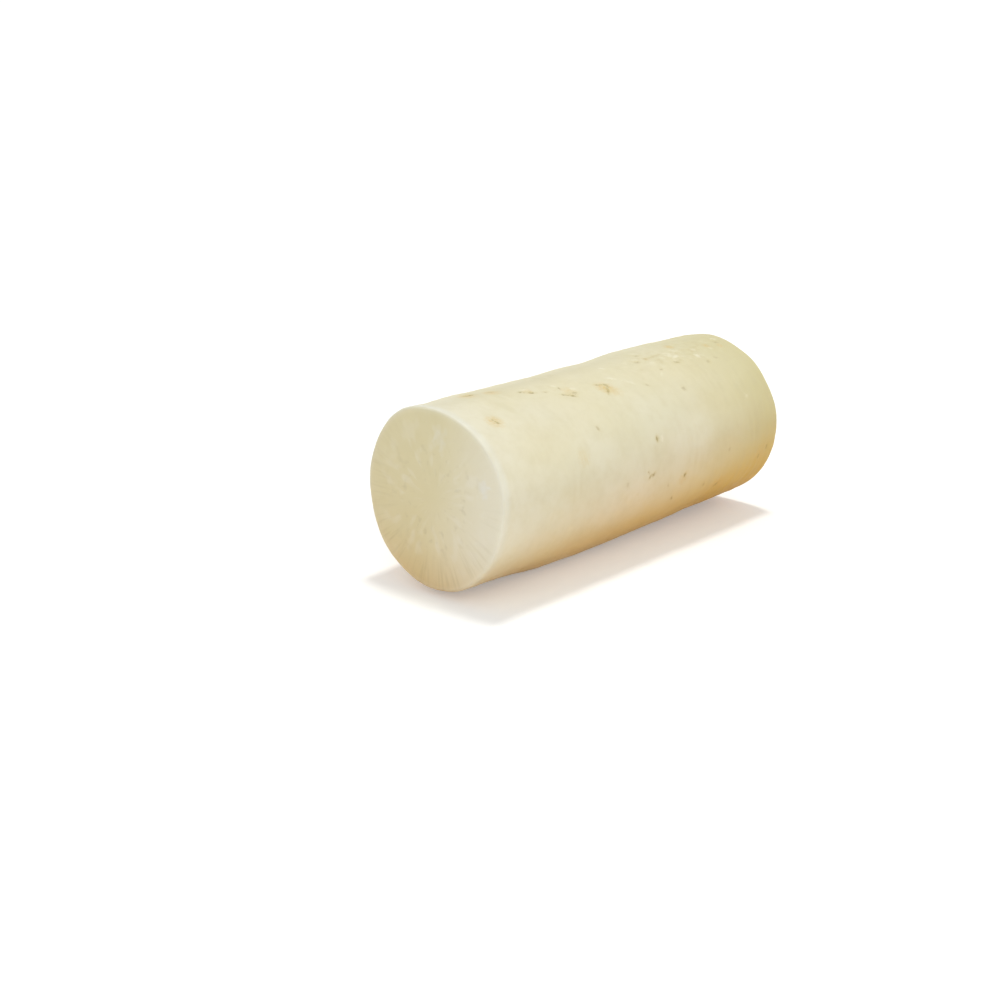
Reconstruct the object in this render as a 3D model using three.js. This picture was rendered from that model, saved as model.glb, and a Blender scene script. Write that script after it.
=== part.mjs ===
// A stout length of Korean radish (mu), lying on its side, with a flat knife cut at each end.
//
// Millimetres, +Z up. +X runs along the root from its front cut to its far cut, the end nearer the leaves.
// The origin is the centre of the bounding box's underside, on the surface that the root rests on.
//
// The root grew as one piece, so it is one closed solid. A lathed barrel gives its outline, and each vertex
// is then carried onto the grown form: a little out of round, gently swollen and hollowed, bowed along its
// length, cut slightly askew, and flattened where its belly rests. Places around the root are angles from
// the near side (-Y): 90 degrees is the top, 180 the back (+Y) and 270 the underside.

import * as THREE from 'three';

const { smoothstep, degToRad } = THREE.MathUtils;

// Barrel
const LENGTH = 210;
const FRONT_RADIUS = 43.2;
const BELLY_RADIUS = 44.4;
const FAR_RADIUS = 42.8;
const FRONT_TAPER = 75; // length over which the root swells from the front cut to its belly
const FAR_TAPER = 95; // length over which it draws in again to the far cut
const RIM_ROUNDING = 1.5; // where the skin turns into a cut face

// Spine, the line through the middle of the root
const SIDE_BOW = 1.5; // how far mid-length stands towards +Y
const SAG = 2.6; // how far mid-length hangs below the line between the ends
const FAR_DROP = 1; // how much lower the far end's middle is than the front end's

// Cuts, each off square by a turn about the vertical and a lean from it, in degrees
const FRONT_CUT = { turn: -1.4, lean: 2 };
const FAR_CUT = { turn: 3.4, lean: 0 };

// Out of round: crests around the root, where one of them points, and the height that they reach at the
// front cut, at mid-length and at the far cut
const RIPPLES = [
  { crests: 2, towards: -3, front: 0.25, middle: 0, far: 0.95 },
  { crests: 3, towards: 21, front: 0.65, middle: 0.35, far: -0.3 },
  { crests: 4, towards: 31, front: 0.45, middle: 0, far: 0 },
];

// Gentle swellings, and hollows with a height below zero, as broad bell-shaped mounds
const SWELL_REACH = 17; // from a mound's middle to where it is 0.6 of its height, along the root
const SWELL_ANGLE = 13; // and around it, in degrees
const SWELLINGS = [
  { along: 23, angle: 112, height: 0.4 },
  { along: 67, angle: 115, height: -0.25 },
  { along: 130, angle: 113, height: -0.25 },
  { along: 160, angle: 114, height: 0.8 },
  { along: 194, angle: 103, height: -0.2 },
  { along: 22, angle: 300, height: -0.5 },
  { along: 65, angle: 294, height: 0.6 },
  { along: 100, angle: 292, height: 0.35 },
  { along: 168, angle: 300, height: -0.65 },
  { along: 201, angle: 305, height: 0.85 },
  { along: 52, angle: 175, height: 0.6 },
  { along: 118, angle: 205, height: -0.5 },
  { along: 172, angle: 188, height: 0.5 },
];

const FLAT_DEPTH = 0.8; // how much of the belly's lowest line the resting flat takes off

// Fineness of the facets
const SIDES = 72;
const STATIONS = 28;
const RIM_STEPS = 2;

// The outline's radius at a distance along the root: it eases up to the belly and down again.
function outlineRadius(along) {
  const towardsFront = 1 - smoothstep(along, 0, FRONT_TAPER);
  const towardsFar = Math.max(0, 1 - (LENGTH - along) / FAR_TAPER) ** 3;
  return BELLY_RADIUS
    - (BELLY_RADIUS - FRONT_RADIUS) * towardsFront
    - (BELLY_RADIUS - FAR_RADIUS) * towardsFar;
}

// 0 at both ends of the root and 1 at mid-length, along a parabola.
function archAt(share) {
  return 4 * share * (1 - share);
}

// How far the grown skin stands outside the round barrel at a place on it, in mm.
function skinHeight(along, angle) {
  const share = along / LENGTH;
  let height = 0;
  for (const { crests, towards, front, middle, far } of RIPPLES) {
    const crestHeight = front * (1 - share) + middle * archAt(share) + far * share;
    height += crestHeight * Math.cos(crests * (angle - degToRad(towards)));
  }
  for (const mound of SWELLINGS) {
    const acrossTurn = angle - degToRad(mound.angle);
    const turn = Math.atan2(Math.sin(acrossTurn), Math.cos(acrossTurn)) / degToRad(SWELL_ANGLE);
    const reach = (along - mound.along) / SWELL_REACH;
    height += mound.height * Math.exp(-(turn ** 2 + reach ** 2) / 2);
  }
  return height;
}

// The barrel's half outline, from the middle of the front cut to the middle of the far cut, as points of
// (radius, distance along). Each rim is a quarter circle.
function halfOutline() {
  const points = [new THREE.Vector2(0, 0)];
  for (let step = 0; step < RIM_STEPS; step += 1) {
    const turn = (Math.PI / 2) * (step / RIM_STEPS);
    const inset = RIM_ROUNDING * (1 - Math.sin(turn));
    const along = RIM_ROUNDING * (1 - Math.cos(turn));
    points.push(new THREE.Vector2(outlineRadius(along) - inset, along));
  }
  for (let station = 0; station <= STATIONS; station += 1) {
    const along = RIM_ROUNDING + (LENGTH - 2 * RIM_ROUNDING) * (station / STATIONS);
    points.push(new THREE.Vector2(outlineRadius(along), along));
  }
  for (let step = RIM_STEPS - 1; step >= 0; step -= 1) {
    const turn = (Math.PI / 2) * (step / RIM_STEPS);
    const inset = RIM_ROUNDING * (1 - Math.sin(turn));
    const along = LENGTH - RIM_ROUNDING * (1 - Math.cos(turn));
    points.push(new THREE.Vector2(outlineRadius(along) - inset, along));
  }
  points.push(new THREE.Vector2(0, LENGTH));
  return points;
}

// How far a cut face's slope carries a point along the root, for a point that is across from its middle.
function cutShift({ turn, lean }, across, up) {
  return across * Math.tan(degToRad(turn)) + up * Math.tan(degToRad(lean));
}

// Carries a barrel vertex onto the grown form.
function grow(vertex) {
  const along = vertex.x;
  const share = along / LENGTH;
  const angle = Math.atan2(vertex.z, -vertex.y);
  const stretch = 1 + skinHeight(along, angle) / outlineRadius(along);
  const across = -vertex.y * stretch;
  const up = vertex.z * stretch;
  vertex.x += (1 - share) * cutShift(FRONT_CUT, across, up) + share * cutShift(FAR_CUT, across, up);
  vertex.y = SIDE_BOW * archAt(share) - across;
  vertex.z = up - FAR_DROP * share - SAG * archAt(share);
}

function radishGeometry() {
  const geometry = new THREE.LatheGeometry(halfOutline(), SIDES);
  geometry.rotateZ(-Math.PI / 2); // the lathe's axis comes down onto +X
  const positions = geometry.attributes.position;
  const vertex = new THREE.Vector3();
  for (let index = 0; index < positions.count; index += 1) {
    vertex.fromBufferAttribute(positions, index);
    grow(vertex);
    positions.setXYZ(index, vertex.x, vertex.y, vertex.z);
  }

  geometry.computeBoundingBox();
  const floor = geometry.boundingBox.min.z + FLAT_DEPTH;
  for (let index = 0; index < positions.count; index += 1) {
    positions.setZ(index, Math.max(positions.getZ(index), floor));
  }

  geometry.computeBoundingBox();
  const middle = geometry.boundingBox.getCenter(new THREE.Vector3());
  geometry.translate(-middle.x, -middle.y, -floor);
  geometry.computeVertexNormals();
  return geometry;
}

// Thin, smooth cream-white skin over crisp flesh, with a damp satin sheen
const radishSkin = new THREE.MeshStandardMaterial({ color: '#e4dfc9', roughness: 0.5, metalness: 0 });

const radish = new THREE.Mesh(radishGeometry(), radishSkin);
radish.name = 'radish';

const part = new THREE.Group();
part.add(radish);

export default part;
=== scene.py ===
"""A stout length of Korean radish (mu), lying on its side, with a flat knife cut at each end.

The root is one closed surface, worked out in millimetres on a grid of rows along it and columns around it.
The rows start at the middle of the front cut, cross it to the rim, run along the skin to the far rim and
cross the far cut to its middle. Angles around the root start on the near side (-Y): 90 degrees is the top,
180 the back and 270 the underside.
"""

import math

import bpy
import numpy as np
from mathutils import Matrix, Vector


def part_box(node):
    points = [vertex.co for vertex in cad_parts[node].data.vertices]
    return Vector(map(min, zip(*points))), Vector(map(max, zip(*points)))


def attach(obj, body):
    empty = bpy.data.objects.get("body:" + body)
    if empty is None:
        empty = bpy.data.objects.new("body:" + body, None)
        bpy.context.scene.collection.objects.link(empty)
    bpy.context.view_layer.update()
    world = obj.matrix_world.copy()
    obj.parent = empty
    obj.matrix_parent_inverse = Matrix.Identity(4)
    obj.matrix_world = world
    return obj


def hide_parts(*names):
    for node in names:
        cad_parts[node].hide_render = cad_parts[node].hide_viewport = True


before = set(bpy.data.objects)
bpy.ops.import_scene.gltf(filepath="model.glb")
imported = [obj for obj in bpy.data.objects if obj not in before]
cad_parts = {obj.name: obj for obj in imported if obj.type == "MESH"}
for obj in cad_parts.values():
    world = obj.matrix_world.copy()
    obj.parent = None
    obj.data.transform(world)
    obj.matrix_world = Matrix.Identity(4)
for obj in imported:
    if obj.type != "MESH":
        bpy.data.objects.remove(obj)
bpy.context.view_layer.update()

MM = 0.001

# ---- the grown form, in mm: the same as the solid's ---------------------------------------------

LENGTH = 210
FRONT_RADIUS = 43.2
BELLY_RADIUS = 44.4
FAR_RADIUS = 42.8
FRONT_TAPER = 75
FAR_TAPER = 95
RIM_ROUNDING = 1.5
SIDE_BOW = 1.5
SAG = 2.6
FAR_DROP = 1
FRONT_CUT = {"turn": -1.4, "lean": 2}
FAR_CUT = {"turn": 3.4, "lean": 0}
FLAT_DEPTH = 0.8

# crests around the root, where one points in degrees, and their height at the front, mid-length and far end
RIPPLES = [
    (2, -3, 0.25, 0, 0.95),
    (3, 21, 0.65, 0.35, -0.3),
    (4, 31, 0.45, 0, 0),
]

# broad mounds and hollows: distance along, angle, height
SWELL_REACH = 17
SWELL_ANGLE = 13
SWELLINGS = [
    (23, 112, 0.4), (67, 115, -0.25), (130, 113, -0.25), (160, 114, 0.8), (194, 103, -0.2),
    (22, 300, -0.5), (65, 294, 0.6), (100, 292, 0.35), (168, 300, -0.65), (201, 305, 0.85),
    (52, 175, 0.6), (118, 205, -0.5), (172, 188, 0.5),
]

# ---- fineness of the grid -----------------------------------------------------------------------

COLUMNS = 344
BODY_ROWS = 238
RIM_ROWS = 6
CUT_ROWS = 14

# ---- the skin's own relief, in mm ---------------------------------------------------------------

# Layers of soft noise. Each has its spacing, its height, how many times it is drawn out around the root,
# and its seed.
WAVES_IN_A_LAYER = 28
SLOW_WAVES = (30, 0.16, 1, 55)
DIMPLES = (9, 0.035, 1, 2)  # they show as soft light and dark patches
GROWTH_RINGS = (4.2, 0.045, 6, 3)
SCUFF_BUMPS = (7, 0.13, 1.5, 5)

# How much of the growth rings shows, as a share: this much everywhere, patches with more or less of them as
# one more layer of noise, and more past mid-length
RING_LEVEL = 0.2
RING_PATCHES = (50, 0.3, 1, 4)
FAR_RINGS = 0.7
FAR_RINGS_START = 110
FAR_RINGS_END = 190

# What the knife leaves as it is drawn through: low waves that fade out towards the rim
CUT_WAVE_SPACING = 11
CUT_WAVE_HEIGHT = 0.05
CUT_WAVE_TILT = 0.35  # how far they lean from level, in radians
CUT_WAVE_BEND = 0.03  # how far they shift for each mm across, in radians of a wave
CUT_WAVE_FADE = 0.8  # where they start to fade, as a share of the belly's radius

PALE_BAND = 4  # how far from the front cut the peel looks paler
PALE_BAND_SOFTNESS = 2

MARK_LIP = 0.35  # how much of a mark's depth its swollen lip takes back
MARK_FADE = (1.3, 2.2)  # where a mark's shade fades out, in half sizes of the mark

# Marks on the skin, listed where they show most: dark slits and pits where a side root came off or the peel
# was nicked, and pale raised flecks. Each has its distance along, its angle, half its length, half its
# width, how many degrees its upper end leans from the growth rings towards the front cut, its depth (below
# zero it stands up), and its shade, from -1 for a pale fleck to 1 for a brown slit.
MARKS = [
    (18.4, 62.8, 0.9, 1.0, 70, 0.12, 0.45), (19.4, 59.6, 1.3, 0.8, 74, 0.20, 0.8),
    (29.8, 98.6, 4.0, 1.0, 79, 0.30, 0.9), (42.8, 95.6, 3.0, 1.0, 80, 0.15, 0.3),
    (53.1, 82.4, 1.2, 1.0, 60, 0.20, 0.8), (57.5, 78.3, 2.6, 0.9, 66, 0.25, 0.9),
    (65, 75, 1.1, 0.7, 56, 0.12, 0.4), (76, 76, 1.5, 0.8, -23, 0.20, 0.7),
    (72.5, 68, 1.9, 0.8, 56, 0.25, 0.8), (76.5, 65, 2.4, 1.0, 54, 0.30, 0.9),
    (80, 67, 1.8, 0.7, 62, 0.12, 0.5), (98, 68.5, 1.6, 0.9, 62, 0.25, 0.7),
    (102.5, 66.5, 1.6, 1.1, 45, 0.25, 0.7), (99.5, 60.5, 3.2, 1.0, -39, 0.35, 0.75),
    (74, 37, 1.5, 1.0, 31, 0.20, 0.45), (147, 88, 2.0, 1.3, 48, 0.20, 0.5),
    (139, 79, 1.9, 1.1, 60, 0.20, 0.5), (146.8, 80.4, 1.4, 1.0, 45, 0.15, 0.4),
    (159.5, 67, 2.4, 1.2, 85, 0.25, 0.5), (145, 65, 1.2, 1.2, 0, 0.20, 0.35),
    (126, 56, 2.1, 1.0, 62, 0.15, 0.35), (146.6, 45.4, 1.6, 1.6, 42, 0.20, 0.38),
    (179, 59.5, 1.4, 1.6, 45, 0.15, 0.25), (186.5, 60.5, 2.0, 1.2, 60, 0.15, 0.28),
    (200.5, 75.5, 2.0, 1.1, 60, 0.20, 0.4), (111.2, 20.2, 1.7, 1.05, -22, 0.25, 0.9),
    (103.6, -1.6, 1.3, 0.9, -40, 0.15, 0.8), (106.3, -0.9, 1.5, 1.0, -60, 0.20, 0.9),
    (102.1, 1.9, 0.9, 0.8, 0, 0.10, 0.5), (132.7, -9.5, 1.35, 1.3, 25, 0.30, 1.0),
    (127.5, -24.6, 1.5, 1.1, 40, 0.12, 0.6), (120, -12.5, 1.6, 0.9, 30, 0.10, 0.25),
    (86.5, -1.5, 1.8, 1.2, 15, 0.08, 0.2), (165.7, -28.6, 2.6, 1.5, -60, 0.20, 0.6),
    (168.1, -2.9, 1.8, 1.0, 0, 0.10, 0.25), (196.5, -17.9, 2.0, 1.3, 10, 0.15, 0.45),
    (202.6, -12.7, 2.0, 1.1, 0, 0.20, 0.5), (152, -22.8, 1.5, 1.1, 20, 0.10, 0.3),
    (164.1, 72.1, 2.4, 1.4, -88, -0.30, -0.55), (176.5, 66.9, 2.2, 1.9, -8, -0.35, -0.65),
    (142, 61, 2.2, 1.0, -57, -0.15, -0.45), (114.6, 19.4, 2.0, 1.2, -13, -0.15, -0.6),
    (188, 27, 1.5, 1.3, 57, -0.12, -0.35), (82, 71, 2.4, 1.6, 60, -0.20, -0.5),
    (75, 79.5, 1.8, 1.1, 30, -0.20, -0.6), (57, 83.6, 2.2, 1.2, 60, -0.20, -0.6),
    (110, 70.5, 3.4, 1.3, 55, -0.30, -0.6), (117.2, 61.4, 2.6, 1.2, 50, -0.20, -0.4),
    (115.6, 84.5, 1.7, 1.0, 35, -0.20, -0.6), (148.5, 91.5, 2.4, 1.5, 60, -0.30, -0.5),
    (140.5, 82.3, 2.4, 1.4, 60, -0.30, -0.5), (202.5, 79.5, 2.2, 1.0, 60, -0.20, -0.6),
    (180, 74, 1.8, 1.3, 30, -0.20, -0.4), (169, 80, 2.2, 1.6, 40, -0.25, -0.4),
    (156, 76, 2.0, 1.5, 70, -0.20, -0.35), (191, 70, 1.8, 1.4, 20, -0.15, -0.35),
]
# Soft golden stains in the peel: distance along, angle, spread in mm, strength
STAINS = [
    (18.5, 61.5, 5, 0.8), (29, 99, 5, 0.8), (43, 95, 5, 0.7), (57, 81, 4, 0.5), (78, 70, 5, 0.5),
    (99.5, 64.5, 5, 0.85), (104, 58, 5, 0.35), (57, 23, 6, 0.35), (147, 80, 2.5, 0.5), (173.5, 88, 3, 0.8),
    (191, 74, 2.5, 0.7), (200, 70.5, 2.5, 0.6), (132, -11, 4, 0.5), (111, 20, 3, 0.3),
    (168, -28, 6, 0.6), (198, -16, 6, 0.6),
]
# Broad, faint tones of the peel, partly painted light and shade: golden, which low on the near side is
# painted warm reflected light and elsewhere the peel's own tone; whitish, which on the near side is painted
# light and at the back the peel's own tone; and dusky, which in the band along the top is painted shade and
# at the back a faint tone. Each has its colour and its patches, with their distance along, angle, reach
# along in mm and around in degrees, and how far the colour is mixed in.
PEEL_TONES_AND_PAINTED_LIGHT = [
    ("#d8c060", [(185, -34, 60, 22, 0.54), (75, -44, 90, 19, 0.34), (105, -38, 26, 14, 0.16),
                 (158, 58, 30, 26, 0.18), (165, 30, 20, 12, 0.1), (120, 200, 60, 40, 0.16)]),
    ("#ecebe4", [(46, 57, 26, 22, 0.24), (84, -12, 46, 20, 0.26), (50, 150, 40, 40, 0.15)]),
    ("#a3986f", [(70, 97, 85, 11, 0.19), (130, 230, 50, 20, 0.1)]),
]
# Patches of rougher skin: distance along, angle, reach along in mm and around in degrees, strength
SCUFFS = [(160, 77, 32, 13, 1.0), (74, 74, 16, 8, 0.5), (60, 196, 22, 14, 0.8), (150, 236, 18, 12, 0.7)]

# The skin that faces away. Side roots grow in two opposite rows, and one of them is there.
HIDDEN_SEED = 7
HIDDEN_ROW_ANGLE = 242
HIDDEN_ROW_SCARS = 8
SCAR_DEPTH = 0.3
FLECK_OFFSET = 3.5  # how far along the root each scar's pale fleck lies
FLECK_DEPTH = -0.12
FLECK_SHADE = -0.6
STRAY_MARKS = 18
STRAY_DEPTH = 0.15
SLANTS = (-60, 60)


def ease(value, start, end):
    """0 before start, 1 after end, and 3t^2 - 2t^3 in between."""
    share = np.clip((value - start) / (end - start), 0, 1)
    return share * share * (3 - 2 * share)


def arch(share):
    """0 at both ends of the root and 1 at mid-length, along a parabola."""
    return 4 * share * (1 - share)


def outline_radius(along):
    """The barrel's radius: the belly's, less an ease to the front cut and a cube to the far cut."""
    towards_front = 1 - ease(along, 0, FRONT_TAPER)
    towards_far = np.clip(1 - (LENGTH - along) / FAR_TAPER, 0, None) ** 3
    return (BELLY_RADIUS - (BELLY_RADIUS - FRONT_RADIUS) * towards_front
            - (BELLY_RADIUS - FAR_RADIUS) * towards_far)


def turn_between(angle, other):
    """The angle from other to angle, in radians, from -pi to pi."""
    return (angle - other + math.pi) % (2 * math.pi) - math.pi


def skin_height(along, angle):
    """How far the grown skin stands outside the barrel: cosines around the root plus bell-shaped mounds."""
    share = along / LENGTH
    height = 0
    for crests, towards, front, middle, far in RIPPLES:
        crest_height = front * (1 - share) + middle * arch(share) + far * share
        height = height + crest_height * np.cos(crests * (angle - math.radians(towards)))
    for mound_along, mound_angle, mound_height in SWELLINGS:
        turn = turn_between(angle, math.radians(mound_angle)) / math.radians(SWELL_ANGLE)
        reach = (along - mound_along) / SWELL_REACH
        height = height + mound_height * np.exp(-(turn ** 2 + reach ** 2) / 2)
    return height


def cut_shift(cut, across, up):
    """How far a cut face's slope carries a point along the root."""
    return across * math.tan(math.radians(cut["turn"])) + up * math.tan(math.radians(cut["lean"]))


def grow(along, radius, angle):
    """Carries barrel points, at a distance along, a radius and an angle, onto the grown form."""
    share = along / LENGTH
    grown = radius * (1 + skin_height(along, angle) / outline_radius(along))
    across = grown * np.cos(angle)
    up = grown * np.sin(angle)
    x = along + (1 - share) * cut_shift(FRONT_CUT, across, up) + share * cut_shift(FAR_CUT, across, up)
    y = SIDE_BOW * arch(share) - across
    z = up - FAR_DROP * share - SAG * arch(share)
    return np.stack([x, y, z], axis=-1)


def soft_noise(along, angle, layer):
    """One layer of soft noise: a sum of cosines that run in all directions over the unrolled skin, each with
    a whole number of waves around the root. The layer's stretch draws the waves out around the root."""
    spacing, height, stretch, seed = layer
    draw = np.random.default_rng(seed)
    field = 0
    for _ in range(WAVES_IN_A_LAYER):
        heading = draw.uniform(0, 2 * math.pi)
        fineness = draw.uniform(0.7, 1.3) * 2 * math.pi / spacing
        waves_around = round(fineness * math.sin(heading) * BELLY_RADIUS / stretch)
        phase = waves_around * angle + fineness * math.cos(heading) * along
        field = field + np.cos(phase + draw.uniform(0, 2 * math.pi))
    return height * math.sqrt(2 / WAVES_IN_A_LAYER) * field


def hidden_marks():
    """Marks and stains of the skin that faces away: a row of root scars, each a slit beside a pale fleck in
    a stain, and small strays. All are drawn with a fixed seed."""
    draw = np.random.default_rng(HIDDEN_SEED)
    marks = []
    stains = []
    for number in range(HIDDEN_ROW_SCARS):
        along = LENGTH * (number + draw.uniform(0.2, 0.8)) / HIDDEN_ROW_SCARS
        angle = HIDDEN_ROW_ANGLE + draw.normal(0, 6)
        slant = draw.uniform(*SLANTS)
        half_length = draw.uniform(1.4, 3)
        half_width = draw.uniform(0.8, 1.1)
        shade = draw.uniform(0.6, 1)
        marks.append((along, angle, half_length, half_width, slant, SCAR_DEPTH, shade))
        fleck_angle = angle + draw.uniform(-3, 3)
        fleck_length = draw.uniform(1, 2)
        marks.append((along + FLECK_OFFSET, fleck_angle, fleck_length, 1, slant, FLECK_DEPTH, FLECK_SHADE))
        spread = draw.uniform(2.5, 4.5)
        strength = draw.uniform(0.3, 0.8)
        stains.append((along, angle, spread, strength))
    for _ in range(STRAY_MARKS):
        along = draw.uniform(12, LENGTH - 10)
        angle = draw.uniform(110, 312)
        half_length = draw.uniform(1, 2)
        half_width = draw.uniform(0.7, 1.1)
        slant = draw.uniform(*SLANTS)
        shade = draw.uniform(0.3, 0.9)
        marks.append((along, angle, half_length, half_width, slant, STRAY_DEPTH, shade))
    return marks, stains


def mark_relief(along, angle, marks):
    """Each mark is a bell-shaped pit, or a bump, times 1 less a share of the squared distance, which gives
    it a low lip. Returns the height, and for each point its place in the nearest mark: lengthwise and
    crosswise in half sizes, then the mark's shade, which fades out past the mark's edge."""
    height = 0
    nearest = np.full(along.shape, np.inf)
    place = np.zeros(along.shape + (3,))
    for mark_along, mark_angle, half_length, half_width, slant, depth, shade in marks:
        forward = along - mark_along
        upward = turn_between(angle, math.radians(mark_angle)) * BELLY_RADIUS
        lean = math.radians(slant)
        lengthwise = (upward * math.cos(lean) - forward * math.sin(lean)) / half_length
        crosswise = (upward * math.sin(lean) + forward * math.cos(lean)) / half_width
        distance = np.hypot(lengthwise, crosswise)
        height = height - depth * (1 - MARK_LIP * distance ** 2) * np.exp(-distance ** 2 / 2)
        here = np.stack([lengthwise, crosswise, shade * (1 - ease(distance, *MARK_FADE))], axis=-1)
        place = np.where((distance < nearest)[..., None], here, place)
        nearest = np.minimum(distance, nearest)
    return height, place


def knife_waves(places, radius):
    """What the knife leaves on a cut: one cosine that leans and bends a little, and fades out to the rim."""
    across = places[..., 1]
    up = places[..., 2]
    drawn = (up * math.cos(CUT_WAVE_TILT) + across * math.sin(CUT_WAVE_TILT)) / CUT_WAVE_SPACING
    inside = ease(radius, BELLY_RADIUS, BELLY_RADIUS * CUT_WAVE_FADE)
    return CUT_WAVE_HEIGHT * np.cos(2 * math.pi * drawn + CUT_WAVE_BEND * across) * inside


def patchiness(along, angle, patches):
    """From 0 to 1, the sum of bell-shaped patches: (along, angle, reach along, reach around, strength)."""
    total = 0
    for patch_along, patch_angle, reach, spread, strength in patches:
        turn = turn_between(angle, math.radians(patch_angle)) / math.radians(spread)
        total = total + strength * np.exp(-(((along - patch_along) / reach) ** 2 + turn ** 2))
    return np.clip(total, 0, 1)


def root_rows():
    """(distance along, radius, and how far the row counts as skin) for each row, in mm."""
    turns = np.linspace(0, math.pi / 2, RIM_ROWS, endpoint=False)
    rim_along = RIM_ROUNDING * (1 - np.cos(turns))
    rim_inset = RIM_ROUNDING * (1 - np.sin(turns))
    cut_shares = np.linspace(0, 1, CUT_ROWS, endpoint=False)
    body_along = np.linspace(RIM_ROUNDING, LENGTH - RIM_ROUNDING, BODY_ROWS)
    front = outline_radius(rim_along) - rim_inset
    far = outline_radius(LENGTH - rim_along) - rim_inset
    along = np.concatenate([
        np.zeros(CUT_ROWS), rim_along, body_along, LENGTH - rim_along[::-1], np.full(CUT_ROWS, LENGTH)])
    radius = np.concatenate([
        cut_shares * front[0], front, outline_radius(body_along), far[::-1], cut_shares[::-1] * far[0]])
    skin = np.concatenate([
        np.zeros(CUT_ROWS), np.sin(turns), np.ones(BODY_ROWS), np.sin(turns)[::-1], np.zeros(CUT_ROWS)])
    return along, radius, skin


def surface_normals(places):
    """Unit normals of a grid that closes around its columns, from the cross product of its differences."""
    down_rows = np.gradient(places, axis=0)
    around = np.roll(places, -1, axis=1) - np.roll(places, 1, axis=1)
    normals = np.cross(down_rows, around)
    normals[0] = normals[1]
    normals[-1] = normals[-2]
    return normals / np.maximum(np.linalg.norm(normals, axis=-1, keepdims=True), 1e-9)


def closed_mesh(name, places):
    """A mesh of quads over a grid that closes around its columns, with a fan at each end of its rows."""
    rows, columns = places.shape[:2]
    vertices = np.concatenate([places[:1, 0], places[1:-1].reshape(-1, 3), places[-1:, 0]])
    this = np.arange(columns)
    following = (this + 1) % columns
    last = 1 + (rows - 3) * columns
    starts = 1 + np.arange(rows - 3)[:, None] * columns
    quads = np.stack([starts + this, starts + columns + this,
                      starts + columns + following, starts + following], axis=-1).reshape(-1, 4)
    front_fan = np.stack([np.zeros_like(this), 1 + this, 1 + following], axis=-1)
    far_fan = np.stack([last + this, np.full_like(this, len(vertices) - 1), last + following], axis=-1)
    mesh = bpy.data.meshes.new(name)
    mesh.from_pydata(vertices, [], front_fan.tolist() + quads.tolist() + far_fan.tolist())
    mesh.shade_smooth()
    return mesh


def on_vertices(values):
    """A grid of values as the mesh's vertices hold them, with one for each end of the rows."""
    return np.concatenate([values[:1, 0], values[1:-1].reshape((-1,) + values.shape[2:]), values[-1:, 0]])


def set_on_flat(smooth, relieved):
    """Lifts whatever of both forms lies below the resting flat onto it, and moves them together, so that the
    smooth one fills the solid's box. Returns the relieved one, in metres, with nothing outside that box."""
    flat = smooth[..., 2].min() + FLAT_DEPTH
    lowest = (-math.inf, -math.inf, flat)
    form = np.maximum(smooth, lowest).reshape(-1, 3)
    low, high = [np.array(corner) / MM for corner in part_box("radish")]
    shift = (low + high) / 2 - (form.min(0) + form.max(0)) / 2
    shift[2] = low[2] - flat
    return np.clip(np.maximum(relieved, lowest) + shift, low, high) * MM


def cut_or_skin(rows):
    """0 for each face of cut flesh and 1 for each of skin, which starts half-way round each rim."""
    first = CUT_ROWS + RIM_ROWS // 2
    last = rows - 1 - first
    quads = np.zeros((rows - 3, COLUMNS), np.int32)
    quads[first - 1:last - 1] = 1
    fan = np.zeros(COLUMNS, np.int32)
    return np.concatenate([fan, quads.ravel(), fan])


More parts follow.
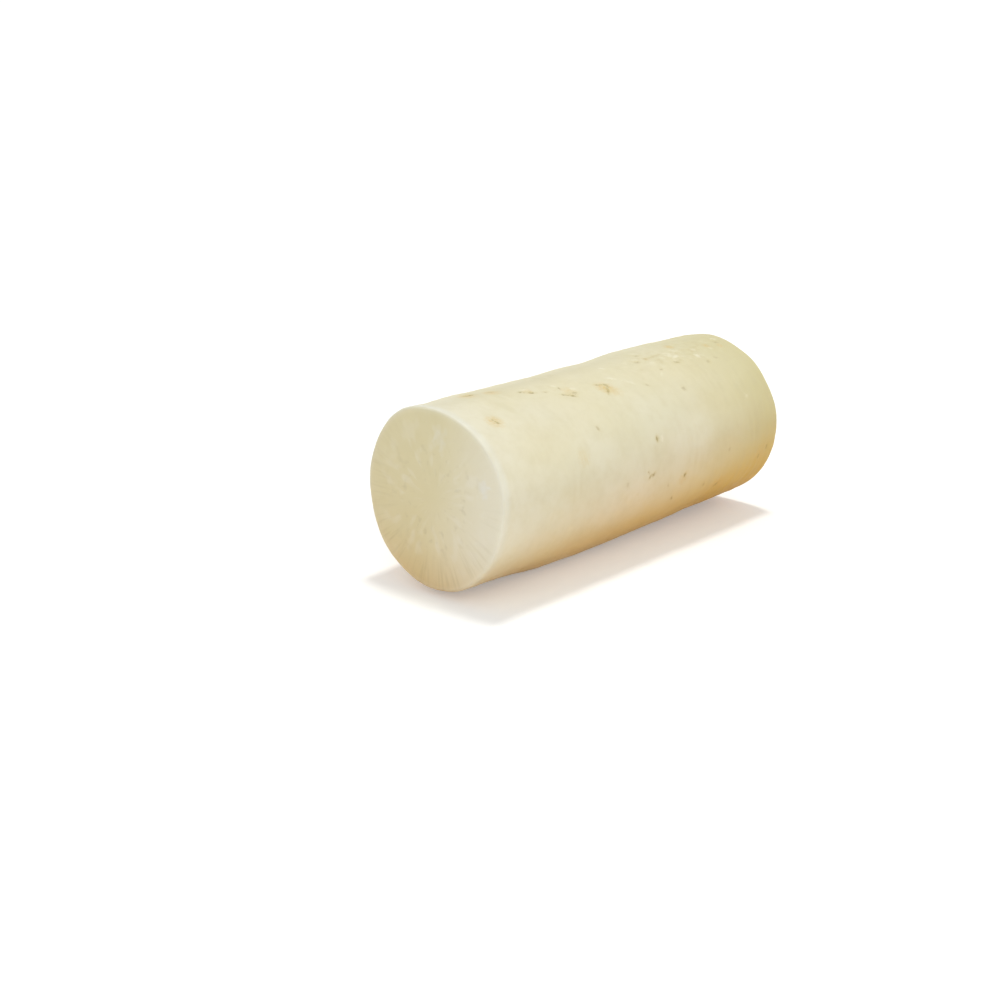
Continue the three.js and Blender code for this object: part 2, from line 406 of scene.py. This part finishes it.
def make_radish():
    """The whole root: the grown form, moved along its normals by the relief of skin or cut, and set on its
    resting flat. Its attributes hold the places and shares that its two materials read."""
    row_along, row_radius, row_skin = root_rows()
    angle, along = np.meshgrid(np.linspace(0, 2 * math.pi, COLUMNS, endpoint=False), row_along)
    radius = np.repeat(row_radius[:, None], COLUMNS, axis=1)
    skin = np.repeat(row_skin[:, None], COLUMNS, axis=1)
    smooth = grow(along, radius, angle)

    more_marks, more_stains = hidden_marks()
    mark_height, mark_place = mark_relief(along, angle, MARKS + more_marks)
    stained = patchiness(along, angle, [
        (*place, spread, math.degrees(spread / BELLY_RADIUS), strength)
        for *place, spread, strength in STAINS + more_stains])
    scuffed = patchiness(along, angle, SCUFFS)
    far_rings = FAR_RINGS * ease(along, FAR_RINGS_START, FAR_RINGS_END)
    ringed = np.clip(RING_LEVEL + soft_noise(along, angle, RING_PATCHES) + far_rings, 0, 1)
    skin_relief = (
        soft_noise(along, angle, SLOW_WAVES)
        + soft_noise(along, angle, DIMPLES)
        + soft_noise(along, angle, GROWTH_RINGS) * ringed
        + soft_noise(along, angle, SCUFF_BUMPS) * scuffed
        + mark_height
    )
    relief = skin * skin_relief + (1 - skin) * knife_waves(smooth, radius)
    relieved = smooth + surface_normals(smooth) * relief[..., None]
    mesh = closed_mesh("radish_root", set_on_flat(smooth, relieved))

    share = radius / outline_radius(along)
    pith_place = np.stack([share * np.cos(angle), share * np.sin(angle), np.zeros_like(share)], axis=-1)
    blemishes = np.stack([stained, scuffed, ringed], axis=-1)
    band = 1 - ease(along, PALE_BAND - PALE_BAND_SOFTNESS, PALE_BAND + PALE_BAND_SOFTNESS)
    # the second share grows towards each cut across the rounded rim, where the skin gets painted shade
    edge_place = np.stack([band, 1 - skin, np.zeros_like(skin)], axis=-1)
    # tones of the peel, with painted warm reflected light, painted light and painted shade among them
    peel_tones_and_painted_light = np.stack([patchiness(along, angle, patches) for _, patches in PEEL_TONES_AND_PAINTED_LIGHT], axis=-1)
    attributes = {
        "pith_place": pith_place,
        "mark_place": mark_place,
        "blemishes": blemishes,
        "edge_place": edge_place,
        "peel_tones_and_painted_light": peel_tones_and_painted_light,
    }
    for name, values in attributes.items():
        attribute = mesh.attributes.new(name, "FLOAT_VECTOR", "POINT")
        attribute.data.foreach_set("vector", on_vertices(values).astype(np.float32).ravel())
    mesh.polygons.foreach_set("material_index", cut_or_skin(len(row_along)))
    return mesh


# ---- materials ----------------------------------------------------------------------------------

NOISE = "ShaderNodeTexNoise"
MIX = "ShaderNodeMix"
MATHS = "ShaderNodeMath"
VECTOR_MATHS = "ShaderNodeVectorMath"
MAP_RANGE = "ShaderNodeMapRange"
MIX_A, MIX_B, MIX_RESULT = 6, 7, 2  # a colour Mix node's sockets
FLESH_SUBSURFACE = (1, 0.95, 0.8)  # how far red, green and blue light sink in, against each other
PALE_BAND_STRENGTH = 0.4
FINE_MOTTLE = 0.4  # the shares of the fine and the broad mottling in the peel's texture
BROAD_MOTTLE = 0.6
MARK_RAGGEDNESS = 1.7  # how far noise pushes a mark's edge, in half sizes of the mark
SPOT_RAGGEDNESS = 0.35  # how far it pushes a glassy spot, as a share of the cut's radius
FIBRE_SHIFT = 50  # how far the pattern on a cut shifts for each metre along the root, in breaks of a ray
LOW_SIDE = (-0.5, -1, 0)  # the way from the pith in which the rays show most: down and a little to the back


def linear(hex_colour):
    """An sRGB hex colour as linear (red, green, blue, 1)."""
    channels = [int(hex_colour[i:i + 2], 16) / 255 for i in (1, 3, 5)]
    return (*[c / 12.92 if c <= 0.04045 else ((c + 0.055) / 1.055) ** 2.4 for c in channels], 1)


def add(tree, kind, values=None, links=None, **settings):
    """Adds a node to a tree: settings are its own properties, values fill its sockets, links feed them."""
    node = tree.nodes.new(kind)
    for name, value in settings.items():
        setattr(node, name, value)
    for socket, value in (values or {}).items():
        node.inputs[socket].default_value = value
    for socket, source in (links or {}).items():
        tree.links.new(source, node.inputs[socket])
    return node


def new_material(name):
    """A material with nothing in its tree but an output, and that tree."""
    material = bpy.data.materials.new(name)
    material.use_nodes = True
    material.node_tree.nodes.clear()
    return material, material.node_tree


def blend_zones(tree, place, colour, zones):
    """Blends colours in with distance. Each zone has the way it deepens, from and to how many mm that way,
    its strength and its colour."""
    for way, start, end, strength, hex_colour in zones:
        depth = add(tree, VECTOR_MATHS, {1: way}, {0: place}, operation="DOT_PRODUCT").outputs["Value"]
        zone = add(tree, MAP_RANGE, {"From Min": start * MM, "From Max": end * MM, "To Max": strength},
                   {"Value": depth}, interpolation_type="SMOOTHSTEP")
        colour = add(tree, MIX, {MIX_B: linear(hex_colour)},
                     {"Factor": zone.outputs["Result"], MIX_A: colour}, data_type="RGBA").outputs[MIX_RESULT]
    return colour


def skin_ground(tree, place, ringed):
    """The peel's colour and fine relief, with painted light and shade in it. Cream clouds, a top that is
    yellower and a little darker, a green-yellow shoulder, a whiter front, a golden underside that is partly
    painted warm reflected light, the broad tones with their painted light and shade, a pale band beside the
    front cut, painted shade on the rounded rim where the peel turns into the cut, faint mottling where flesh
    shows through, and broken growth rings. Returns colour, height and mottling."""
    clouds = add(tree, NOISE, {"Scale": 1 / (32 * MM), "Detail": 2}, {"Vector": place})
    cloudy = add(tree, MAP_RANGE, {"From Min": 0.35, "From Max": 0.65}, {"Value": clouds.outputs["Fac"]})
    colour = add(tree, MIX, {MIX_A: linear("#e8e4cc"), MIX_B: linear("#e3dec1")},
                 {"Factor": cloudy.outputs["Result"]}, data_type="RGBA").outputs[MIX_RESULT]

    colour = blend_zones(tree, place, colour, (
        ((-0.2, 0, 1), 60, 92, 0.42, "#e5d8a6"),  # yellower and a little darker towards the top
        ((1, 0, -0.2), 15, 103, 0.85, "#d4ca93"),  # shoulder
        ((-1, 0, 0), 65, 106, 0.6, "#ebe7d4"),  # front
        ((0.5, 0, -1), -4, 24, 0.42, "#d9be74"),  # golden underside: partly the peel's own tone, partly painted warm reflected light from below
    ))
    toned = add(tree, "ShaderNodeAttribute", attribute_name="peel_tones_and_painted_light").outputs["Vector"]
    edge = add(tree, "ShaderNodeAttribute", attribute_name="edge_place").outputs["Vector"]
    tones = add(tree, "ShaderNodeSeparateXYZ", links={"Vector": toned}).outputs
    edges = add(tree, "ShaderNodeSeparateXYZ", links={"Vector": edge}).outputs
    pale_band = add(tree, MATHS, {1: PALE_BAND_STRENGTH}, {0: edges["X"]}, operation="MULTIPLY").outputs[0]
    # the broad tones mix painted warm reflected light, painted light and painted shade in with the peel's
    # own tones
    overlays = [(share, hex_colour) for share, (hex_colour, _) in zip(tones, PEEL_TONES_AND_PAINTED_LIGHT)]
    # the pale band beside the front cut, then painted shade, greyer, on the rounded rim where the peel turns
    # into the cut
    overlays += [(pale_band, "#ebece3"), (edges["Y"], "#d9d7c8")]
    for share, hex_colour in overlays:
        colour = add(tree, MIX, {MIX_B: linear(hex_colour)}, {"Factor": share, MIX_A: colour},
                     data_type="RGBA").outputs[MIX_RESULT]

    # mottling 9 mm across and 3 mm across, and rings 4 mm apart that run five times as far around
    broad = add(tree, NOISE, {"Scale": 1 / (9 * MM), "Detail": 1}, {"Vector": place})
    mottle = add(tree, NOISE, {"Scale": 1 / (3 * MM), "Detail": 3}, {"Vector": place})
    across_root = add(tree, "ShaderNodeMapping", {"Scale": (1, 0.2, 0.2)}, {"Vector": place})
    rings = add(tree, NOISE, {"Scale": 1 / (4 * MM), "Detail": 1},
                {"Vector": across_root.outputs["Vector"]})
    ring_centred = add(tree, MATHS, {1: 0.5}, {0: rings.outputs["Fac"]}, operation="SUBTRACT")
    shown_rings = add(tree, MATHS, links={0: ring_centred.outputs[0], 1: ringed}, operation="MULTIPLY")
    texture = add(tree, MATHS, {1: FINE_MOTTLE}, {0: mottle.outputs["Fac"], 2: shown_rings.outputs[0]},
                  operation="MULTIPLY_ADD")
    texture = add(tree, MATHS, {1: BROAD_MOTTLE}, {0: broad.outputs["Fac"], 2: texture.outputs[0]},
                  operation="MULTIPLY_ADD")
    darker = add(tree, MAP_RANGE, {"From Min": 0.42, "From Max": 0.75, "To Max": 0.26},
                 {"Value": texture.outputs[0]})
    colour = add(tree, MIX, {MIX_B: linear("#d3c9a0")}, {"Factor": darker.outputs["Result"], MIX_A: colour},
                 data_type="RGBA").outputs[MIX_RESULT]
    return colour, texture.outputs[0], mottle.outputs["Fac"]


def skin_marks(tree, place, colour, stained):
    """Golden stains, brown slits in an olive halo, and pale flecks, all made ragged by 1 mm noise."""
    ragged = add(tree, NOISE, {"Scale": 1 / (1.3 * MM), "Detail": 2}, {"Vector": place})
    stain = add(tree, MATHS, links={0: ragged.outputs["Fac"], 1: stained}, operation="MULTIPLY")
    stain_share = add(tree, MAP_RANGE, {"From Min": 0.08, "From Max": 0.5, "To Max": 0.75},
                      {"Value": stain.outputs[0]})
    colour = add(tree, MIX, {MIX_B: linear("#dcc27c")},
                 {"Factor": stain_share.outputs["Result"], MIX_A: colour},
                 data_type="RGBA").outputs[MIX_RESULT]

    mark = add(tree, "ShaderNodeAttribute", attribute_name="mark_place").outputs["Vector"]
    centred = add(tree, VECTOR_MATHS, {1: (0.5, 0.5, 0.5)}, {0: ragged.outputs["Color"]},
                  operation="SUBTRACT")
    pushed = add(tree, VECTOR_MATHS, {1: (MARK_RAGGEDNESS, MARK_RAGGEDNESS, 0)},
                 {0: centred.outputs["Vector"], 2: mark}, operation="MULTIPLY_ADD")
    flat = add(tree, VECTOR_MATHS, {1: (1, 1, 0)}, {0: pushed.outputs["Vector"]}, operation="MULTIPLY")
    distance = add(tree, VECTOR_MATHS, links={0: flat.outputs["Vector"]}, operation="LENGTH")
    shade = add(tree, "ShaderNodeSeparateXYZ", links={"Vector": mark}).outputs["Z"]
    # the halo, the slit and the fleck: where each ends and where it is full, in half sizes of the mark, its
    # strength, which is below zero where it shows on marks with a shade below zero, and its colour
    layers = ((1.9, 0.4, 0.5, "#cdbf88"), (1.0, 0.1, 0.75, "#a08c55"), (1.25, 0.2, -0.8, "#f5f0d8"))
    for end, full, strength, hex_colour in layers:
        inside = add(tree, MAP_RANGE, {"From Min": end, "From Max": full, "To Max": strength},
                     {"Value": distance.outputs["Value"]}, interpolation_type="SMOOTHSTEP")
        share = add(tree, MATHS, links={0: inside.outputs["Result"], 1: shade}, operation="MULTIPLY")
        colour = add(tree, MIX, {MIX_B: linear(hex_colour)}, {"Factor": share.outputs[0], MIX_A: colour},
                     data_type="RGBA").outputs[MIX_RESULT]
    return colour


def skin_scuffs(tree, place, colour, scuffed):
    """Rough patches: pale scales of lifted peel 4 mm across, and tan pits between them. Returns colour and
    height."""
    scale_place = add(tree, "ShaderNodeMapping", {"Scale": (0.7, 1, 1)}, {"Vector": place})
    scales = add(tree, NOISE, {"Scale": 1 / (4 * MM), "Detail": 1.5},
                 {"Vector": scale_place.outputs["Vector"]})
    height = add(tree, MATHS, links={0: scales.outputs["Fac"], 1: scuffed}, operation="MULTIPLY")
    for low, high, strength, hex_colour in ((0.54, 0.74, 0.5, "#f3edd2"), (0.45, 0.28, 0.4, "#cfbf8a")):
        spot = add(tree, MAP_RANGE, {"From Min": low, "From Max": high, "To Max": strength},
                   {"Value": scales.outputs["Fac"]}, interpolation_type="SMOOTHSTEP")
        share = add(tree, MATHS, links={0: spot.outputs["Result"], 1: scuffed}, operation="MULTIPLY")
        colour = add(tree, MIX, {MIX_B: linear(hex_colour)}, {"Factor": share.outputs[0], MIX_A: colour},
                     data_type="RGBA").outputs[MIX_RESULT]
    return colour, height.outputs[0]


def radish_skin():
    """Raw radish skin, washed: a thin, smooth peel, damp enough for a satin sheen, over white flesh. Light
    sinks a few millimetres in, which softens every edge and dent. The eye gets a nearly even cream that
    yellows towards the leaves' end, with small tan and brown marks and a few rough patches."""
    material, tree = new_material("washed_radish_skin")
    place = add(tree, "ShaderNodeTexCoord").outputs["Object"]
    blemishes = add(tree, "ShaderNodeAttribute", attribute_name="blemishes").outputs["Vector"]
    stained, scuffed, ringed = add(tree, "ShaderNodeSeparateXYZ", links={"Vector": blemishes}).outputs
    colour, texture, mottle = skin_ground(tree, place, ringed)
    colour, scuff_height = skin_scuffs(tree, place, colour, scuffed)
    colour = skin_marks(tree, place, colour, stained)

    grain = add(tree, NOISE, {"Scale": 1 / (0.9 * MM), "Detail": 2}, {"Vector": place}).outputs["Fac"]
    # each layer of fine relief, with its depth in mm
    normal = None
    for height, distance in ((texture, 0.06), (grain, 0.02), (scuff_height, 0.6)):
        links = {"Height": height, "Normal": normal} if normal else {"Height": height}
        normal = add(tree, "ShaderNodeBump", {"Distance": distance * MM}, links).outputs["Normal"]
    damp = add(tree, MAP_RANGE, {"From Min": 0.3, "From Max": 0.7, "To Min": 0.54, "To Max": 0.66},
               {"Value": mottle})
    surface = add(tree, "ShaderNodeBsdfPrincipled",
                  {"IOR": 1.4, "Subsurface Weight": 0.3, "Subsurface Radius": FLESH_SUBSURFACE,
                   "Subsurface Scale": 2 * MM},
                  {"Base Color": colour, "Roughness": damp.outputs["Result"], "Normal": normal})
    add(tree, "ShaderNodeOutputMaterial", links={"Surface": surface.outputs["BSDF"]})
    return material


def fibre_rays(tree, colour, outward, share, shift):
    """Streaks, specks and whiter patches that follow rays from the pith: noise over the way outwards and the
    distance that way. Returns colour and the height of the finest rays, which are the first kind."""
    # each kind of streak: rays to a radian, breaks along a ray, the noise levels at which it starts to show
    # and is full, where it starts, is strongest and ends as shares of the radius, its strength at the bottom
    # of the cut and at the top, and its colour
    streaks = (
        (20, 2.6, (0.45, 0.72), (0.5, 0.87, 1.2), 0.23, 0.03, "#b2a87c"),
        (6, 11, (0.54, 0.76), (0.05, 0.42, 0.85), 0.2, 0.2, "#a89f7c"),
        (5, 5, (0.5, 0.7), (0.05, 0.5, 1.05), 0.27, 0.27, "#f0eee4"),
    )
    lowness = add(tree, VECTOR_MATHS, {1: LOW_SIDE}, {0: outward}, operation="DOT_PRODUCT").outputs["Value"]
    heights = []
    for rays, breaks, (low, high), (start, peak, end), bottom, top, hex_colour in streaks:
        around = add(tree, VECTOR_MATHS, {1: (rays, rays, rays)}, {0: outward}, operation="MULTIPLY")
        along_ray = add(tree, MATHS, {1: breaks}, {0: share, 2: shift}, operation="MULTIPLY_ADD")
        lifted = add(tree, "ShaderNodeCombineXYZ", links={"Z": along_ray.outputs[0]})
        ray_place = add(tree, VECTOR_MATHS,
                        links={0: around.outputs["Vector"], 1: lifted.outputs["Vector"]}, operation="ADD")
        ray = add(tree, NOISE, {"Scale": 1.0, "Detail": 1.5}, {"Vector": ray_place.outputs["Vector"]})
        heights.append(ray.outputs["Fac"])
        strength = add(tree, MAP_RANGE, {"From Min": -0.7, "From Max": 1, "To Min": top, "To Max": bottom},
                       {"Value": lowness}).outputs["Result"]
        shown = add(tree, MAP_RANGE, {"From Min": low, "From Max": high},
                    {"Value": ray.outputs["Fac"], "To Max": strength},
                    interpolation_type="SMOOTHSTEP").outputs["Result"]
        for edge in (start, end):
            near = add(tree, MAP_RANGE, {"From Min": edge, "From Max": peak}, {"Value": share})
            shown = add(tree, MATHS, links={0: shown, 1: near.outputs["Result"]},
                        operation="MULTIPLY").outputs[0]
        colour = add(tree, MIX, {MIX_B: linear(hex_colour)}, {"Factor": shown, MIX_A: colour},
                     data_type="RGBA").outputs[MIX_RESULT]
    return colour, heights[0]


def glassy_spots(tree, place, colour, pith):
    """Two spots of clearer, wetter flesh, made ragged by 5 mm noise."""
    # each spot: how far towards the near side and up from the pith it is and how far it reaches, as shares
    # of the radius, and its strength. The noise pushes both by up to its raggedness, so these places are
    # half of that farther out than where the spots show.
    ragged = add(tree, NOISE, {"Scale": 1 / (5 * MM), "Detail": 1}, {"Vector": place})
    around_pith = add(tree, VECTOR_MATHS, {1: (SPOT_RAGGEDNESS, SPOT_RAGGEDNESS, 0)},
                      {0: ragged.outputs["Color"], 2: pith}, operation="MULTIPLY_ADD").outputs["Vector"]
    for near, up, reach, strength in ((0.9, 0.45, 0.13, 0.38), (0.24, 0.89, 0.15, 0.24)):
        off = add(tree, VECTOR_MATHS, {1: (near, up, 0)}, {0: around_pith},
                  operation="DISTANCE").outputs["Value"]
        spot = add(tree, MAP_RANGE, {"From Min": reach, "From Max": 0.02, "To Max": strength},
                   {"Value": off}, interpolation_type="SMOOTHSTEP")
        colour = add(tree, MIX, {MIX_B: linear("#eceff0")},
                     {"Factor": spot.outputs["Result"], MIX_A: colour}, data_type="RGBA").outputs[MIX_RESULT]
    return colour


def cut_flesh():
    """Fresh-cut radish flesh: crisp, moist and slightly see-through. Rays of denser fibre run out from the
    pith, finest near the peel and clearest in the root's lower half, each broken into short faint streaks
    and specks, with whiter patches and two glassy spots between them. The flesh pales towards the peel."""
    material, tree = new_material("fresh_cut_radish_flesh")
    place = add(tree, "ShaderNodeTexCoord").outputs["Object"]
    position = add(tree, "ShaderNodeSeparateXYZ", links={"Vector": place})
    clouds = add(tree, NOISE, {"Scale": 1 / (14 * MM), "Detail": 3}, {"Vector": place})
    colour = add(tree, MIX, {MIX_A: linear("#e2dbb9"), MIX_B: linear("#dbd3ab")},
                 {"Factor": clouds.outputs["Fac"]}, data_type="RGBA").outputs[MIX_RESULT]
    # painted light: the flesh turns whiter towards the near side, where direct white light falls, and
    # yellower at its lowest part, with painted warm light thrown up from below
    colour = blend_zones(tree, place, colour, (
        ((0, -1, -0.22), -19, 30, 0.76, "#ece9da"),
        ((0, 0, -1), -32, 2, 0.5, "#d6bd84"),
    ))

    # outward is the way from the pith to the skin, and share is how far along it
    pith = add(tree, "ShaderNodeAttribute", attribute_name="pith_place").outputs["Vector"]
    outward = add(tree, VECTOR_MATHS, links={0: pith}, operation="NORMALIZE").outputs["Vector"]
    share = add(tree, VECTOR_MATHS, links={0: pith}, operation="LENGTH").outputs["Value"]
    # the two cuts cross different fibres, so the pattern shifts with the distance between them
    shift = add(tree, MATHS, {1: FIBRE_SHIFT}, {0: position.outputs["X"]}, operation="MULTIPLY").outputs[0]

    colour, ray_height = fibre_rays(tree, colour, outward, share, shift)
    colour = glassy_spots(tree, place, colour, pith)

    # the flesh is whiter just under the peel, and has painted shade, a little greyer, where the rounded rim
    # begins
    for start, end, strength, hex_colour in ((0.91, 1.0, 0.25, "#eeede0"), (0.96, 0.98, 0.25, "#dbd8c8")):
        rind = add(tree, MAP_RANGE, {"From Min": start, "From Max": end, "To Max": strength},
                   {"Value": share}, interpolation_type="SMOOTHSTEP")
        colour = add(tree, MIX, {MIX_B: linear(hex_colour)},
                     {"Factor": rind.outputs["Result"], MIX_A: colour}, data_type="RGBA").outputs[MIX_RESULT]

    ribs = add(tree, "ShaderNodeBump", {"Distance": 0.05 * MM}, {"Height": ray_height})
    surface = add(tree, "ShaderNodeBsdfPrincipled",
                  {"Roughness": 0.65, "IOR": 1.38, "Subsurface Weight": 0.3,
                   "Subsurface Radius": FLESH_SUBSURFACE, "Subsurface Scale": 2 * MM},
                  {"Base Color": colour, "Normal": ribs.outputs["Normal"]})
    add(tree, "ShaderNodeOutputMaterial", links={"Surface": surface.outputs["BSDF"]})
    return material


# ---- floor, light and camera --------------------------------------------------------------------

WHITE = (1, 1, 1, 1)

# The floor, in metres: its light is warm within an ellipse, which fades out between two shares of its reach
FLOOR_HALF_WIDTH = 12
FLOOR_LIFT = 0.25  # how strongly it glows where it is seen
WARM_MIDDLE = (0.025, 0, 0)
WARM_REACH = (0.22, 0.13, 1)  # along its heading and across it
WARM_HEADING_DEG = -28
WARM_FADE = (0.6, 1.2)

# The camera: its place in metres, its turn from +Y, where below zero is towards +X, and its lens in mm
EYE = Vector((-0.686, -0.5617, 0.3083))
HEADING_DEG = -48.15
LOOK_DOWN_DEG = 17.99
LENS = 67.29
SENSOR = 36
VIEW_REACH = 100  # how far it sees, in metres


def seen_directly(tree):
    """1 for rays from the camera, from a mirror or through glass, and 0 for rays that only carry light."""
    path = add(tree, "ShaderNodeLightPath")
    seen = path.outputs["Is Camera Ray"]
    for kind in ("Is Glossy Ray", "Is Transmission Ray"):
        seen = add(tree, MATHS, links={0: seen, 1: path.outputs[kind]}, operation="MAXIMUM").outputs[0]
    return seen


def make_floor():
    """A plain white floor. It is lifted to white where it is seen, and keeps the root's shadow. The light
    that it throws back is warm near the root, as from a pale wooden board, and white farther off."""
    mesh = bpy.data.meshes.new("floor")
    edge = FLOOR_HALF_WIDTH
    mesh.from_pydata(
        [(-edge, -edge, 0), (edge, -edge, 0), (edge, edge, 0), (-edge, edge, 0)], [], [(0, 1, 2, 3)])
    floor = bpy.data.objects.new("floor", mesh)
    bpy.context.scene.collection.objects.link(floor)
    material, tree = new_material("matt_white_paper")
    seen = seen_directly(tree)
    place = add(tree, "ShaderNodeTexCoord").outputs["Object"]
    reach = add(tree, "ShaderNodeMapping",
                {"Location": WARM_MIDDLE,
                 "Rotation": (0, 0, math.radians(WARM_HEADING_DEG)),
                 "Scale": WARM_REACH},
                {"Vector": place}, vector_type="TEXTURE")
    distance = add(tree, VECTOR_MATHS, links={0: reach.outputs["Vector"]}, operation="LENGTH")
    away = add(tree, MAP_RANGE, {"From Min": WARM_FADE[0], "From Max": WARM_FADE[1]},
               {"Value": distance.outputs["Value"]}, interpolation_type="SMOOTHSTEP")
    thrown = add(tree, MIX, {MIX_A: linear("#e6b04c"), MIX_B: linear("#f4f1ea")},
                 {"Factor": away.outputs["Result"]}, data_type="RGBA")
    colour = add(tree, MIX, {MIX_B: linear("#f2f2f0")},
                 {"Factor": seen, MIX_A: thrown.outputs[MIX_RESULT]}, data_type="RGBA")
    paper = add(tree, "ShaderNodeBsdfDiffuse", links={"Color": colour.outputs[MIX_RESULT]})
    lift = add(tree, MATHS, {1: FLOOR_LIFT}, {0: seen}, operation="MULTIPLY")
    glow = add(tree, "ShaderNodeEmission", links={"Strength": lift.outputs[0]})
    both = add(tree, "ShaderNodeAddShader", links={0: paper.outputs["BSDF"], 1: glow.outputs["Emission"]})
    add(tree, "ShaderNodeOutputMaterial", links={"Surface": both.outputs["Shader"]})
    mesh.materials.append(material)


def make_world(horizon, zenith):
    """Light from all around as in a white-walled light tent, at one level near the horizon and another from
    straight above. It shows as white where it is seen."""
    world = bpy.data.worlds.new("light_tent")
    bpy.context.scene.world = world
    world.use_nodes = True
    tree = world.node_tree
    tree.nodes.clear()
    direction = add(tree, "ShaderNodeTexCoord").outputs["Generated"]
    height = add(tree, "ShaderNodeSeparateXYZ", links={"Vector": direction}).outputs["Z"]
    thrown = add(tree, MAP_RANGE, {"To Min": horizon, "To Max": zenith}, {"Value": height})
    level = add(tree, MAP_RANGE, {"To Max": 1.0},
                {"Value": seen_directly(tree), "To Min": thrown.outputs["Result"]})
    light = add(tree, "ShaderNodeBackground", {"Color": WHITE}, {"Strength": level.outputs["Result"]})
    add(tree, "ShaderNodeOutputWorld", links={"Surface": light.outputs["Background"]})


def place_light(name, data, azimuth, elevation, distance):
    """Sets a light at a distance from the root, facing it. Azimuth 0 is -Y and 90 is +X, in degrees."""
    turn = math.radians(azimuth)
    rise = math.radians(elevation)
    towards = Vector((math.sin(turn) * math.cos(rise), -math.cos(turn) * math.cos(rise), math.sin(rise)))
    light = bpy.data.objects.new(name, data)
    light.location = towards * distance
    light.rotation_euler = towards.to_track_quat("Z", "Y").to_euler()
    bpy.context.scene.collection.objects.link(light)


def make_overhead(strength, azimuth, elevation, softness):
    """A lamp overhead, as from a soft light a long way off. Its softness is in degrees."""
    data = bpy.data.lights.new("overhead", "SUN")
    data.energy = strength
    data.angle = math.radians(softness)
    place_light("overhead", data, azimuth, elevation, distance=0)


def make_softbox(power, azimuth, elevation, distance, width):
    """A square softbox. Its distance and width are in metres."""
    data = bpy.data.lights.new("softbox", "AREA")
    data.energy = power
    data.size = width
    place_light("softbox", data, azimuth, elevation, distance)


def make_camera():
    """A camera a little above the root, which looks down on its front cut and its near side."""
    data = bpy.data.cameras.new("camera")
    data.lens = LENS
    data.sensor_width = SENSOR
    data.clip_end = VIEW_REACH
    camera = bpy.data.objects.new("camera", data)
    camera.location = EYE
    camera.rotation_euler = (math.radians(90 - LOOK_DOWN_DEG), 0, math.radians(HEADING_DEG))
    bpy.context.scene.collection.objects.link(camera)
    bpy.context.scene.camera = camera


make_camera()
make_floor()
make_world(horizon=0.9, zenith=0.36)
make_overhead(strength=1.25, azimuth=110, elevation=80, softness=10)
make_softbox(power=2.4, azimuth=-45, elevation=27, distance=1.2, width=0.8)
bpy.context.scene.view_settings.view_transform = "Standard"

mesh = make_radish()
mesh.materials.append(cut_flesh())
mesh.materials.append(radish_skin())
radish = bpy.data.objects.new("radish_root", mesh)
bpy.context.scene.collection.objects.link(radish)
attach(radish, "root")
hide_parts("radish")
